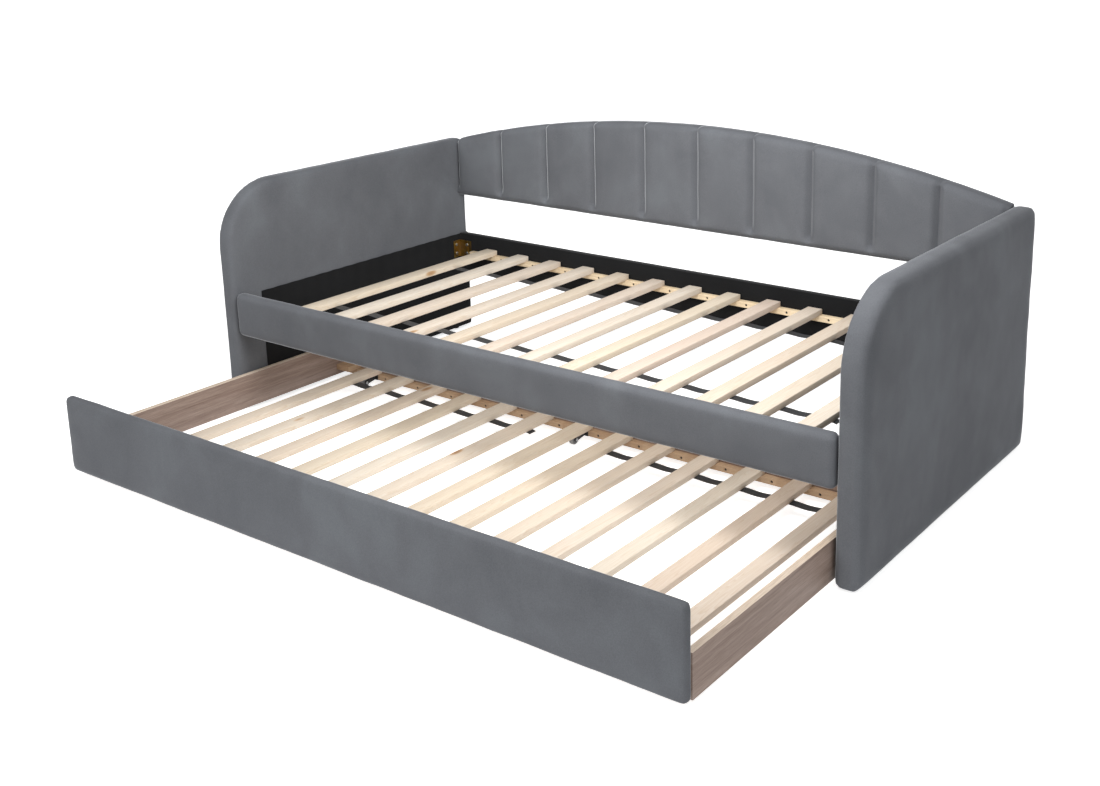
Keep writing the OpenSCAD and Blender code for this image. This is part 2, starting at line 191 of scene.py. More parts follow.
def mixColours(tree, factor, first, second, blend="MIX"):
    made = addNode(tree, "Mix", {"data_type": "RGBA", "blend_type": blend}, {6: first, 7: second})
    if isinstance(factor, float):
        made.inputs[0].default_value = factor
    else:
        tree.links.new(factor, made.inputs[0])
    return made.outputs[2]


def addBump(tree, shader, height, distance, strength, below=None):
    links = {"Height": height}
    if below:
        links["Normal"] = below
    made = addNode(tree, "Bump", {"Distance": distance, "Strength": strength}, links)
    tree.links.new(made.outputs["Normal"], shader.inputs["Normal"])
    return made.outputs["Normal"]


velvet = {
    "low": "#5e6064",
    "middle": "#636569",
    "high": "#696c70",
    "handMarks": 4.5,            # patches of turned pile, about 220 mm
    "brushMarks": (14, 14, 8),   # soft upright streaks
    "pile": 420,                 # tufts of 1 mm drawn as about 2.4 mm, so that they show
}


def makeVelvet(facts):
    # Short-pile polyester velvet: no gloss face on, a pale bloom where the pile is seen from the side.
    made, tree, shader, place = startMaterial(
        "grey short-pile velvet", Roughness=0.92, Specular_IOR_Level=0.15, Sheen_Weight=1.0,
        Sheen_Roughness=0.25, Sheen_Tint=linear("#f0f3f8"))
    patches = addNode(tree, "TexNoise", {"Scale": facts["handMarks"], "Detail": 3, "Roughness": 0.55,
                                         "Distortion": 0.6}, {"Vector": place}).outputs["Fac"]
    streaks = addNode(tree, "TexNoise", {"Scale": 1, "Detail": 3, "Roughness": 0.6},
                      {"Vector": stretch(tree, place, facts["brushMarks"])}).outputs["Fac"]
    turned = addNode(tree, "Math", {"operation": "MULTIPLY", 1: 0.3}, {0: streaks})
    laid = addNode(tree, "Math", {"operation": "MULTIPLY_ADD", 1: 0.7}, {0: patches, 2: turned.outputs[0]})
    colour = ramp(tree, laid.outputs[0], [(0.36, facts["low"]), (0.5, facts["middle"]),
                                          (0.66, facts["high"])])
    pile = addNode(tree, "TexNoise", {"Scale": facts["pile"], "Detail": 2, "Roughness": 0.7},
                   {"Vector": place}).outputs["Fac"]
    flecks = ramp(tree, pile, [(0.3, "#e2e2e4"), (0.7, "#ffffff")])
    tree.links.new(mixColours(tree, 0.8, colour, flecks, "MULTIPLY"), shader.inputs["Base Color"])
    brushed = addBump(tree, shader, streaks, 0.0008, 0.15)
    addBump(tree, shader, pile, 0.0006, 0.3, brushed)
    return made


pine = {
    "tints": ["#e1d8cb", "#dfd2c3", "#e5ddd1", "#dccdbf", "#e1d6c4", "#e0d5c8", "#ddcec2"],
    "pitch": 0.143,              # a new tint for each slat
    "rings": 0.004,              # width of a growth ring across the grain
    "spread": 0.11,              # the growth noise rises by about one over this width
}


def makePine(name, facts, tints, roughness):
    # Planed unfinished pine: matt, pale, with soft growth lines and a few small knots.
    made, tree, shader, place = startMaterial(name, Roughness=roughness, Specular_IOR_Level=0.3)
    apart = addNode(tree, "SeparateXYZ", None, {"Vector": place}).outputs
    column = addNode(tree, "Math", {"operation": "DIVIDE", 1: facts["pitch"]}, {0: apart["X"]})
    column = addNode(tree, "Math", {"operation": "ROUND"}, {0: column.outputs[0]})
    layer = addNode(tree, "Math", {"operation": "MULTIPLY", 1: 4.0}, {0: apart["Z"]})
    layer = addNode(tree, "Math", {"operation": "ROUND"}, {0: layer.outputs[0]})
    cell = addNode(tree, "CombineXYZ", None, {"X": column.outputs[0], "Y": layer.outputs[0]})
    lot = addNode(tree, "TexWhiteNoise", None, {"Vector": cell.outputs[0]}).outputs
    stops = [((i + 0.5) / len(tints), tint) for i, tint in enumerate(tints)]
    tint = ramp(tree, lot["Value"], stops)
    moved = addNode(tree, "VectorMath", {"operation": "MULTIPLY_ADD", 1: (3, 3, 3)},
                    {0: lot["Color"], 2: place}).outputs[0]
    grown = addNode(tree, "TexNoise", {"Scale": 1, "Detail": 2, "Distortion": 0.4},
                    {"Vector": stretch(tree, moved, (28, 1.1, 28))}).outputs["Fac"]
    rings = addNode(tree, "Math", {"operation": "MULTIPLY", 1: facts["spread"] / facts["rings"]}, {0: grown})
    rings = addNode(tree, "Math", {"operation": "FRACT"}, {0: rings.outputs[0]})
    latewood = ramp(tree, rings.outputs[0], [(0.0, "#ffffff"), (0.6, "#faf5ee"), (0.9, "#ecdfd0"),
                                             (1.0, "#ffffff")])
    colour = mixColours(tree, 0.5, tint, latewood, "MULTIPLY")
    fibres = addNode(tree, "TexNoise", {"Scale": 1, "Detail": 4, "Roughness": 0.65},
                     {"Vector": stretch(tree, moved, (900, 14, 900))}).outputs["Fac"]
    fine = ramp(tree, fibres, [(0.3, "#efe6da"), (0.65, "#ffffff")])
    colour = mixColours(tree, 0.6, colour, fine, "MULTIPLY")
    knots = addNode(tree, "TexVoronoi", {"Scale": 1, "Randomness": 1.0},
                    {"Vector": stretch(tree, moved, (9, 3.4, 9))}).outputs["Distance"]
    knot = ramp(tree, knots, [(0.035, "#a9784c"), (0.075, "#dcb98f"), (0.11, "#ffffff")])
    colour = mixColours(tree, 0.85, colour, knot, "MULTIPLY")
    tree.links.new(colour, shader.inputs["Base Color"])
    addBump(tree, shader, fibres, 0.0004, 0.3)
    return made


def makeBoardWood(name, along, stops, roughness):
    # Particle board in a printed wood-grain film: long fine streaks, a little gloss.
    made, tree, shader, place = startMaterial(name, Roughness=roughness, Specular_IOR_Level=0.4)
    scale = {"X": (1.6, 30, 60), "Y": (30, 1.6, 60)}[along]
    broad = addNode(tree, "TexNoise", {"Scale": 1, "Detail": 4, "Roughness": 0.6, "Distortion": 0.8},
                    {"Vector": stretch(tree, place, scale)}).outputs["Fac"]
    colour = ramp(tree, broad, stops)
    fine = addNode(tree, "TexNoise", {"Scale": 1, "Detail": 5, "Roughness": 0.7},
                   {"Vector": stretch(tree, place, [s * 14 for s in scale])}).outputs["Fac"]
    pores = ramp(tree, fine, [(0.34, "#c9beb4"), (0.6, "#ffffff")])
    tree.links.new(mixColours(tree, 0.7, colour, pores, "MULTIPLY"), shader.inputs["Base Color"])
    addBump(tree, shader, fine, 0.0003, 0.25)
    return made


def makeSpeckled(name, dark, light, grain, roughness, distance, **sockets):
    # One colour broken up by a fine grain, for cloth, hardboard, paint and moulded plastic.
    made, tree, shader, place = startMaterial(name, Roughness=roughness, **sockets)
    specks = addNode(tree, "TexNoise", {"Scale": grain, "Detail": 4, "Roughness": 0.65},
                     {"Vector": place}).outputs["Fac"]
    drift = addNode(tree, "TexNoise", {"Scale": 7, "Detail": 2}, {"Vector": place}).outputs["Fac"]
    both = addNode(tree, "Math", {"operation": "MULTIPLY_ADD", 1: 0.5}, {0: drift, 2: specks})
    tree.links.new(ramp(tree, both.outputs[0], [(0.5, dark), (1.0, light)]), shader.inputs["Base Color"])
    addBump(tree, shader, specks, distance, 0.5)
    return made


def makeZinc(name, stops, roughness):
    # Passivated zinc: a thin clear film, with a cloudy drift of colour.
    made, tree, shader, place = startMaterial(name, Metallic=1.0, Roughness=roughness)
    film = addNode(tree, "TexNoise", {"Scale": 38, "Detail": 3, "Distortion": 1.2},
                   {"Vector": place}).outputs["Fac"]
    tree.links.new(ramp(tree, film, stops), shader.inputs["Base Color"])
    rub = addNode(tree, "TexNoise", {"Scale": 600, "Detail": 3}, {"Vector": place}).outputs["Fac"]
    addBump(tree, shader, rub, 0.0001, 0.4)
    return made


def makeWebbing(name):
    # Woven polypropylene tape: black, slightly shiny, with picks of about 2 mm across its ribs,
    # drawn 4 mm apart so that they show.
    made, tree, shader, place = startMaterial(name, Roughness=0.55, Sheen_Weight=0.15,
                                              Sheen_Roughness=0.5)
    picks = addNode(tree, "TexWave", {"bands_direction": "X", "Scale": 78, "Distortion": 0.4,
                                      "Detail": 1}, {"Vector": place}).outputs["Fac"]
    tree.links.new(ramp(tree, picks, [(0.2, "#101012"), (0.8, "#2a2b2e")]), shader.inputs["Base Color"])
    addBump(tree, shader, picks, 0.0005, 0.5)
    return made


boardFilm = [(0.28, "#7e6a61"), (0.45, "#8f7d73"), (0.6, "#9c8a80"), (0.78, "#a9988e")]
materials = {
    "velvet": makeVelvet(velvet),
    "slat_pine": makePine("planed pale pine", pine, pine["tints"], 0.62),
    "ledger_pine": makePine("planed pine ledger", pine, ["#e9d8bb", "#e4d0b0"], 0.62),
    "ledger_timber": makePine("planed brown softwood", pine, ["#b99f84", "#ad9176"], 0.66),
    "frame_timber": makePine("rough frame softwood", pine, ["#d0ae7c", "#c9a877"], 0.75),
    "hardboard": makeSpeckled("brown hardboard", "#6b4d33", "#8d6b4a", 900, 0.7, 0.0002),
    "drawer_board": makeBoardWood("walnut-grey board film", "Y", boardFilm, 0.5),
    "drawer_board_across": makeBoardWood("walnut-grey board film across", "X", boardFilm, 0.5),
    "board_edge": makeBoardWood("pale edge band", "Y", [(0.3, "#d2bfab"), (0.7, "#e2d3c3")], 0.55),
    "black_cloth": makeSpeckled("black non-woven cloth", "#080809", "#141517", 1100, 0.95, 0.0005,
                                Sheen_Weight=0.12, Specular_IOR_Level=0.15),
    "webbing": makeWebbing("black woven webbing"),
    "yellow_zinc": makeZinc("yellow passivated zinc", [
        (0.3, "#8a6c34"), (0.5, "#a98a4a"), (0.62, "#a08358"), (0.8, "#948a55")], 0.36),
    "bright_steel": makeZinc("bright zinc-plated steel", [(0.3, "#a9adb2"), (0.8, "#c9ccd0")], 0.3),
    "black_screw": makeSpeckled("black phosphated steel", "#1a1a1c", "#333336", 1500, 0.5, 0.0001,
                                Metallic=0.6),
    "fork_steel": makeSpeckled("black painted steel", "#1b1c1e", "#2b2c2f", 700, 0.42, 0.0002),
    "wheel_plastic": makeSpeckled("grey moulded polypropylene", "#7e8083", "#96989b", 900, 0.48, 0.0001),
    "glide_plastic": makeSpeckled("black moulded nylon", "#141414", "#232323", 900, 0.5, 0.0001),
}
for entry in frame["record"]["subparts"]:
    dressed = nodes[entry["node"]]
    dressed.data.materials.clear()
    dressed.data.materials.append(materials[entry["material_slot"]])
print("materials made:", len(materials))


def deselect():
    if bpy.context.mode != "OBJECT":
        bpy.ops.object.mode_set(mode="OBJECT")
    bpy.ops.object.select_all(action="DESELECT")


def activate(piece):
    deselect()
    piece.select_set(True)
    bpy.context.view_layer.objects.active = piece


def addBox(name, low, high):
    deselect()
    low, high = Vector(low), Vector(high)
    bpy.ops.mesh.primitive_cube_add(size=1, location=(low + high) / 2, scale=high - low)
    piece = bpy.context.object
    piece.name = name
    bpy.ops.object.transform_apply(location=True, rotation=True, scale=True)
    return piece


def pickEdges(piece, rule):
    # selects, in edit mode, the edges whose two ends satisfy the rule
    activate(piece)
    bpy.ops.object.mode_set(mode="EDIT")
    bpy.ops.mesh.select_mode(type="EDGE")
    bpy.ops.mesh.select_all(action="DESELECT")
    mesh = bmesh.from_edit_mesh(piece.data)
    for edge in mesh.edges:
        edge.select_set(rule(edge.verts[0].co, edge.verts[1].co))
    bmesh.update_edit_mesh(piece.data)


def bevelEdges(piece, rule, width, segments):
    pickEdges(piece, rule)
    bpy.ops.mesh.bevel(offset=width, segments=segments, profile=0.5, affect="EDGES")
    bpy.ops.object.mode_set(mode="OBJECT")


def applyModifier(piece, kind, **settings):
    activate(piece)
    made = piece.modifiers.new(kind.title(), kind)
    for key, value in settings.items():
        setattr(made, key, value)
    bpy.ops.object.modifier_apply(modifier=made.name)


def readPoints(piece):
    points = np.empty(len(piece.data.vertices) * 3)
    piece.data.vertices.foreach_get("co", points)
    return points.reshape(-1, 3)


def writePoints(piece, points):
    piece.data.vertices.foreach_set("co", np.asarray(points, np.float32).ravel())
    piece.data.update()


def finishPiece(piece, body, slot, replaced=(), angle=35):
    activate(piece)
    piece.data.materials.clear()
    piece.data.materials.append(materials[slot])
    bpy.ops.object.shade_smooth_by_angle(angle=math.radians(angle))
    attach(piece, body)
    if replaced:
        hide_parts(*replaced)
    return piece


def camelName(node):
    # left_arm_lining becomes leftArmLining
    first, *rest = node.split("_")
    return first + "".join(word.title() for word in rest)


softEdge = {
    "merge": 0.00002,            # corners this close are one
    "flat": 4,                   # faces that turn less than this, in degrees, become one
    "sharp": 40,                 # edges that turn more than this are eased
    "segments": 2,
}


def softenNode(name, body, slot, width):
    # a copy of a hard CAD node with its sharp edges taken off
    piece = bpy.data.objects.new(camelName(name), nodes[name].data.copy())
    bpy.context.scene.collection.objects.link(piece)
    activate(piece)
    bpy.ops.object.mode_set(mode="EDIT")
    bpy.ops.mesh.select_all(action="SELECT")
    bpy.ops.mesh.remove_doubles(threshold=softEdge["merge"])
    bpy.ops.mesh.dissolve_limited(angle_limit=math.radians(softEdge["flat"]))
    bpy.ops.object.mode_set(mode="OBJECT")
    applyModifier(piece, "BEVEL", width=width, segments=softEdge["segments"], limit_method="ANGLE",
                  angle_limit=math.radians(softEdge["sharp"]))
    return finishPiece(piece, body, slot, [name])


onLine = 0.001                   # a corner this close to a plane lies on it
foam = {
    "edgeSteps": 4,
    "sharp": 50,                 # edges that turn more than this, in degrees, are rounded
    "voxel": 0.009,
    "frames": 20,
    "quality": 4,
    "pressure": 4.0,
    "mass": 0.3,
    "stretch": 12,               # how stiff the cloth is along its threads
    "bend": 0.6,
    "hem": 0.012,                # the cover is stapled up to this height above a pad's lower edge
    "sink": 0.0004,              # the frame stops the cover from sinking further
    "drift": 0.0012,             # and the foam's grip stops it from sliding further
    "passes": 6,                 # how often each point's move is evened out
    "lumps": (0.0007, 0.16),     # height and size of the foam's own unevenness
}


def evenOut(piece, moved, passes):
    # each point's move shared with its neighbours', which takes out fine crumples
    ends = np.empty(len(piece.data.edges) * 2, int)
    piece.data.edges.foreach_get("vertices", ends)
    first, second = ends.reshape(-1, 2).T
    count = np.bincount(ends, minlength=len(moved))[:, None]
    for _ in range(passes):
        total = np.zeros_like(moved)
        np.add.at(total, first, moved[second])
        np.add.at(total, second, moved[first])
        moved = 0.5 * moved + 0.5 * total / np.maximum(count, 1)
    return moved


def inflate(piece, pinned, cap, facts):
    # the cover swells as it would over foam, held where it is stapled or sewn
    activate(piece)
    before = readPoints(piece)
    normals = np.array([v.normal for v in piece.data.vertices])
    staples = piece.vertex_groups.new(name="staples")
    staples.add([int(i) for i in np.nonzero(pinned(before))[0]], 1.0, "REPLACE")
    cloth = piece.modifiers.new("Cloth", "CLOTH")
    settings = cloth.settings
    settings.quality = facts["quality"]
    settings.mass = facts["mass"]
    settings.tension_stiffness = settings.compression_stiffness = facts["stretch"]
    settings.bending_stiffness = facts["bend"]
    settings.use_pressure = True
    settings.uniform_pressure_force = facts["pressure"]
    settings.effector_weights.gravity = 0
    settings.vertex_group_mass = "staples"
    cloth.point_cache.frame_start = 1
    cloth.point_cache.frame_end = facts["frames"]
    for number in range(1, facts["frames"] + 1):
        bpy.context.scene.frame_set(number)
    bpy.ops.object.modifier_apply(modifier="Cloth")
    moved = readPoints(piece) - before
    outward = np.sum(moved * normals, axis=1)[:, None]
    aside = moved - outward * normals
    limit = cap(before)[:, None] if callable(cap) else cap
    outward = np.clip(outward, -facts["sink"], limit)
    length = np.linalg.norm(aside, axis=1)[:, None]
    aside = aside * np.minimum(1, facts["drift"] / np.maximum(length, 1e-9))
    writePoints(piece, before + evenOut(piece, outward * normals + aside, facts["passes"]))
    bpy.context.scene.frame_set(1)


def unevenFoam(piece, height, size, seed):
    # low swells in the foam under the cover, along each point's normal
    shift = Vector((seed * 3.7, seed * 1.3, seed * 2.1))
    normals = np.array([v.normal for v in piece.data.vertices])
    points = readPoints(piece)
    swell = np.array([noise.fractal(Vector(p) / size + shift, 0.7, 2.0, 3) for p in points])
    writePoints(piece, points + normals * (height * swell)[:, None])


def coverPad(name, low, high, roundings, edge, cap, seed):
    # a box with its outline rounded, then all its edges, then a cover blown up over it
    piece = addBox(name, low, high)
    for rule, width, segments in roundings:
        bevelEdges(piece, rule, width, segments)
    applyModifier(piece, "BEVEL", width=edge, segments=foam["edgeSteps"], limit_method="ANGLE",
                  angle_limit=math.radians(foam["sharp"]))
    applyModifier(piece, "REMESH", mode="VOXEL", voxel_size=foam["voxel"], use_smooth_shade=True)
    low, high = Vector(low), Vector(high)
    inflate(piece, lambda p: p[:, 2] < low.z + foam["hem"], cap, foam)
    applyModifier(piece, "SUBSURF", levels=1, render_levels=1)
    unevenFoam(piece, *foam["lumps"], seed)
    return piece


arms = {
    "inset": 0.0025,             # the cover swells out to the frame's line
    "foot": 0.001,               # gap under the cover
    "corner": 0.195,
    "cornerSteps": 20,
    "edge": 0.015,
    "outerSwell": 0.006,
    "innerSwell": 0.0018,
    "innerDepth": 0.012,         # how deep the inner face's firm foam reaches
}


def makeArm(side, name, node):
    low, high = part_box(node)
    inset = arms["inset"]
    low = low + Vector((inset, inset, arms["foot"]))
    high = high - Vector((inset, inset, inset))
    inner = low.x if side > 0 else high.x

    def frontTop(a, b):
        return all(p.y < low.y + onLine and p.z > high.z - onLine for p in (a, b))

    def swell(points):
        # the inner face is pressed flat by the rails, the back and the lining
        firm = abs(points[:, 0] - inner) < arms["innerDepth"]
        return np.where(firm, arms["innerSwell"], arms["outerSwell"])

    piece = coverPad(name, low, high, [(frontTop, arms["corner"] - inset, arms["cornerSteps"])],
                     arms["edge"], swell, 2 + side)
    return finishPiece(piece, "bed", "velvet", [node], 180)


makeArm(-1, "leftArm", "left_arm_cover")
makeArm(1, "rightArm", "right_arm_cover")
print("arms upholstered")

railPad = {"inset": 0.002, "edge": 0.012, "rearEdge": 0.006, "proud": 0.0006, "swell": 0.003}
panelPad = {"inset": 0.002, "edge": 0.0115, "rearEdge": 0.006, "proud": 0.0006, "swell": 0.0035,
            "corner": 0.012, "cornerSteps": 4, "side": 0.001}
rearFace = {"depth": 0.004, "swell": 0.0003}


def rearRounding(high, facts):
    return lambda a, b: min(a.y, b.y) > high.y - onLine, facts["rearEdge"], 3


def flatBehind(high, facts):
    # the cover is stretched flat over the board's rear face
    return lambda p: np.where(p[:, 1] > high.y - rearFace["depth"], rearFace["swell"], facts["swell"])


def makeFrontRail(facts):
    low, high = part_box("front_rail_cover")
    low = low + Vector((0, facts["inset"], facts["inset"]))
    high = high + Vector((0, facts["proud"], -facts["inset"]))
    piece = coverPad("frontRail", low, high, [rearRounding(high, facts)], facts["edge"],
                     flatBehind(high, facts), 5)
    return finishPiece(piece, "bed", "velvet", ["front_rail_cover"], 180)


def makeTrundlePanel(facts):
    low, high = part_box("trundle_panel_cover")
    low = low + Vector((facts["side"], facts["inset"], 0))
    high = high + Vector((-facts["side"], facts["proud"], -facts["inset"]))

    def corners(a, b):
        return abs(a.y - b.y) > onLine and a.z > high.z - onLine

    roundings = [(corners, facts["corner"], facts["cornerSteps"]), rearRounding(high, facts)]
    piece = coverPad("trundlePanel", low, high, roundings, facts["edge"], flatBehind(high, facts), 7)
    return finishPiece(piece, "trundle", "velvet", ["trundle_panel_cover"], 180)


makeFrontRail(railPad)
makeTrundlePanel(panelPad)
print("front rail and trundle panel upholstered")


def tuckInside(name, body, slot, gap):
    # a frame or board under a cover, drawn in a little so that the cover closes over it
    piece = softenNode(name, body, slot, 0.001)
    low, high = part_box(name)
    writePoints(piece, np.clip(readPoints(piece), low + Vector(gap), high - Vector(gap)))


for name, body, slot, gap in (
        ("rear_rail_board", "bed", "frame_timber", (0.004, 0.003, 0.003)),
        ("front_rail_board", "bed", "frame_timber", (0.006, 0.003, 0.006)),
        ("trundle_panel_board", "trundle", "frame_timber", (0.010, 0.003, 0.010)),
        ("left_arm_skins", "bed", "hardboard", (0, 0.008, 0.008)),
        ("right_arm_skins", "bed", "hardboard", (0, 0.008, 0.008)),
        ("left_arm_frame", "bed", "frame_timber", (0, 0.008, 0.008)),
        ("right_arm_frame", "bed", "frame_timber", (0, 0.008, 0.008)),
        ("back_panel_frame", "bed", "frame_timber", (0.004, 0.002, 0.004))):
    tuckInside(name, body, slot, gap)
print("boards and arm frames tucked in")

back = {
    "channels": 10,
    "columns": 22,               # columns of cloth in one channel
    "rows": (3, 2, 22, 2),       # rows of it up the rear, over the top, down the front and below
    "crowding": 0.93,            # how far the columns crowd to the seams
    "frontRound": 0.020,
    "backRound": 0.008,
    "grooveDepth": 0.017,
    "grooveWidth": 0.017,        # how far a channel rolls away from its seam
    "rollPower": 1.1,            # 1 gives a straight-sided groove, more a narrower one
    "faceDepth": 0.045,          # a groove fades out this far behind the front
    "hem": (0.012, 0.034),       # the seams fade out between these heights above the lower edge
    "stapled": 0.012,            # depth of the rear strip that is stapled down
    "clear": 0.002,              # front of the CAD panel to the cover's front
    "short": 0.001,              # how much less deep and high than the CAD panel it is
    "swell": 0.004,
    "lumps": (0.0006, 0.12),
}


def archTop(x, low, high, shoulder):
    # height of the arch above x, from its middle height and the height of its shoulders
    half = high.x
    rise = high.z - shoulder
    radius = (half * half + rise * rise) / (2 * rise)
    return high.z - radius + math.sqrt(radius * radius - x * x)


def between(start, end, count):
    return [tuple(s + (e - s) * i / (count + 1) for s, e in zip(start, end)) for i in range(1, count + 1)]


def ringAround(depth, height, facts):
    # the panel's cross-section as (distance behind the front, height) pairs, from the lower back edge
    def arc(centre, radius, start, steps):
        for i in range(steps + 1):
            angle = math.radians(start + 90 * i / steps)
            yield centre[0] + radius * math.cos(angle), centre[1] + radius * math.sin(angle)

    front, rear = facts["frontRound"], facts["backRound"]
    corners = [
        ((depth - rear, rear), rear, 270, 3),
        ((depth - rear, height - rear), rear, 0, 3),
        ((front, height - front), front, 90, 7),
        ((front, front), front, 180, 7),
    ]
    ring = []
    for number, corner in enumerate(corners):
        points = list(arc(*corner))
        if ring:
            ring += between(ring[-1], points[0], facts["rows"][number - 1])
        ring += points
    ring += between(ring[-1], ring[0], facts["rows"][-1])
    return ring + [ring[0]]


def makeBackPanel(facts):
    low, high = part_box("back_panel_cover")
    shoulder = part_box("left_arm_cover")[1].z
    channel = (high.x - low.x) / facts["channels"]
    count = facts["channels"] * facts["columns"]
    rows = len(ringAround(high.y - low.y, high.z - low.z, facts))
    deselect()
    bpy.ops.mesh.primitive_grid_add(x_subdivisions=count, y_subdivisions=rows - 1, size=1)
    piece = bpy.context.object
    piece.name = "backPanel"
    points = readPoints(piece)
    columnOf = np.rint((points[:, 0] + 0.5) * count).astype(int)
    rowOf = np.rint((points[:, 1] + 0.5) * (rows - 1)).astype(int)
    shaped = np.empty_like(points)
    for column in range(count + 1):
        whole, part = divmod(column / facts["columns"], 1)
        eased = part - facts["crowding"] * math.sin(2 * math.pi * part) / (2 * math.pi)
        x = low.x + (whole + eased) * channel
        gap = min(eased, 1 - eased) * channel
        roll = max(0, 1 - gap / facts["grooveWidth"]) ** facts["rollPower"]
        height = archTop(x, low, high, shoulder) - low.z - facts["short"]
        ring = ringAround(high.y - low.y - facts["short"], height, facts)
        for index in np.nonzero(columnOf == column)[0]:
            behind, up = ring[rowOf[index]]
            rise = min(1, max(0, (up - facts["hem"][0]) / (facts["hem"][1] - facts["hem"][0])))
            rise = rise * rise * (3 - 2 * rise)
            sink = facts["grooveDepth"] * roll * rise
            # a groove sinks back on the face and down on the upper edge
            frontShare = min(1, max(0, 1 - behind / facts["faceDepth"]))
            topShare = min(1, max(0, 1 - (height - up) / facts["frontRound"])) * frontShare
            shaped[index] = (x, low.y + facts["clear"] + behind + sink * frontShare * (1 - 0.5 * topShare),
                             low.z + up - 0.6 * sink * topShare)
    writePoints(piece, shaped)
    activate(piece)
    bpy.ops.object.mode_set(mode="EDIT")
    bpy.ops.mesh.select_all(action="SELECT")
    bpy.ops.mesh.remove_doubles(threshold=0.00001)
    bpy.ops.mesh.fill_holes(sides=0)
    bpy.ops.mesh.select_all(action="SELECT")
    bpy.ops.mesh.normals_make_consistent(inside=False)
    bpy.ops.object.mode_set(mode="OBJECT")
    seams = [low.x + i * channel for i in range(1, facts["channels"])]

    def held(p):
        onSeam = np.min([abs(p[:, 0] - s) for s in seams], axis=0) < onLine / 2
        sewn = onSeam & (p[:, 2] > low.z + facts["hem"][1])
        return sewn | (p[:, 1] > high.y - facts["stapled"]) | (abs(p[:, 0]) > high.x - onLine)

    inflate(piece, held, facts["swell"], foam)
    applyModifier(piece, "SUBSURF", levels=1, render_levels=1)
    unevenFoam(piece, *facts["lumps"], 9)
    return finishPiece(piece, "bed", "velvet", ["back_panel_cover"], 180)


makeBackPanel(back)

rearCloth = {
    "inset": 0.013,
    "columns": 168,
    "rows": 20,
    "thick": 0.0008,
    "staple": 0.05,
    "pull": 0.0016,              # how far the edge is pulled in between two staples
    "behind": 0.0022,            # rear of the CAD cover to the cloth
}


def makeRearCloth(facts):
    # thin black cloth stapled over the panel's rear face, its edge pulled in between the staples
    low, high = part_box("back_panel_cover")
    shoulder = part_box("left_arm_cover")[1].z
    deselect()
    bpy.ops.mesh.primitive_grid_add(x_subdivisions=facts["columns"], y_subdivisions=facts["rows"], size=1)
    piece = bpy.context.object
    piece.name = "rearCloth"
    points = readPoints(piece)
    reach = high.x - facts["inset"]
    x = points[:, 0] * 2 * reach
    base = low.z + facts["inset"]
    top = np.array([archTop(abs(v), low, high, shoulder) for v in x]) - facts["inset"]
    up = points[:, 1] + 0.5
    scallop = np.sin(math.pi * x / facts["staple"]) ** 2 * facts["pull"]
    z = base + up * (top - base) + scallop * ((up < 0.01) * 1.0 - (up > 0.99) * 1.0)
    writePoints(piece, np.column_stack([x, np.full_like(x, high.y + facts["behind"]), z]))
    applyModifier(piece, "SOLIDIFY", thickness=facts["thick"], offset=0)
    return finishPiece(piece, "bed", "black_cloth", ["back_panel_cloth"], 60)


makeRearCloth(rearCloth)
print("back panel upholstered")

slatFacts = {"edge": 0.0018, "cuts": 9, "bow": 0.0012, "sway": 0.0008}


def makeSlat(name, low, high, seed):
    # planed lath with eased edges, very slightly bowed
    piece = addBox(name, low, high)
    pickEdges(piece, lambda a, b: abs(a.y - b.y) > onLine)
    bpy.ops.mesh.subdivide(number_cuts=slatFacts["cuts"])
    bpy.ops.object.mode_set(mode="OBJECT")
    applyModifier(piece, "BEVEL", width=slatFacts["edge"], segments=2, limit_method="ANGLE")
    chance = random.Random(seed)
    bow = chance.uniform(-1, 0.2) * slatFacts["bow"]
    sway = chance.uniform(-1, 1) * slatFacts["sway"]
    points = readPoints(piece)
    along = (points[:, 1] - low.y) / (high.y - low.y)
    middle = np.sin(np.pi * along)
    points[:, 0] += sway * middle
    points[:, 2] += bow * middle
    writePoints(piece, points)
    return piece


def joinPieces(pieces, name):
    activate(pieces[0])
    for piece in pieces:
        piece.select_set(True)
    bpy.ops.object.join()
    bpy.context.object.name = name
    return bpy.context.object


deckSlats = sorted((n for n in nodes if n.startswith("deck_slat")), key=lambda n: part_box(n)[0].x)
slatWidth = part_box(deckSlats[0])[1].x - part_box(deckSlats[0])[0].x
for number, name in enumerate(deckSlats):
    finishPiece(makeSlat("deckSlat%02d" % (number + 1), *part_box(name), number), "bed", "slat_pine", [name])
for name, count in (("trundle_left_slats", 6), ("trundle_middle_slat", 1), ("trundle_right_slats", 6)):
    low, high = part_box(name)
    pitch = (high.x - low.x - slatWidth) / max(1, count - 1)
    laths = []
    for i in range(count):
        start = Vector((low.x + i * pitch, low.y, low.z))
        laths.append(makeSlat("lath", start, Vector((start.x + slatWidth, high.y, high.z)), len(name) + i))
    finishPiece(joinPieces(laths, camelName(name)), "trundle", "slat_pine", [name])
print("slats laid")

strapFacts = {
    "width": 0.028,
    "thinner": 0.0003,           # than its CAD tape
    "halfPitch": 0.0715,         # a slat's middle to the middle of the gap beside it
    "hang": 0.0009,              # underside of the slats to the tape's upper face
    "sag": 0.0025,
    "tail": 0.022,
    "droop": 0.009,
    "droopPower": 1.6,           # more bends a tail nearer its end
    "ribs": 7,
    "rib": 0.00035,
    "step": 0.006,
}


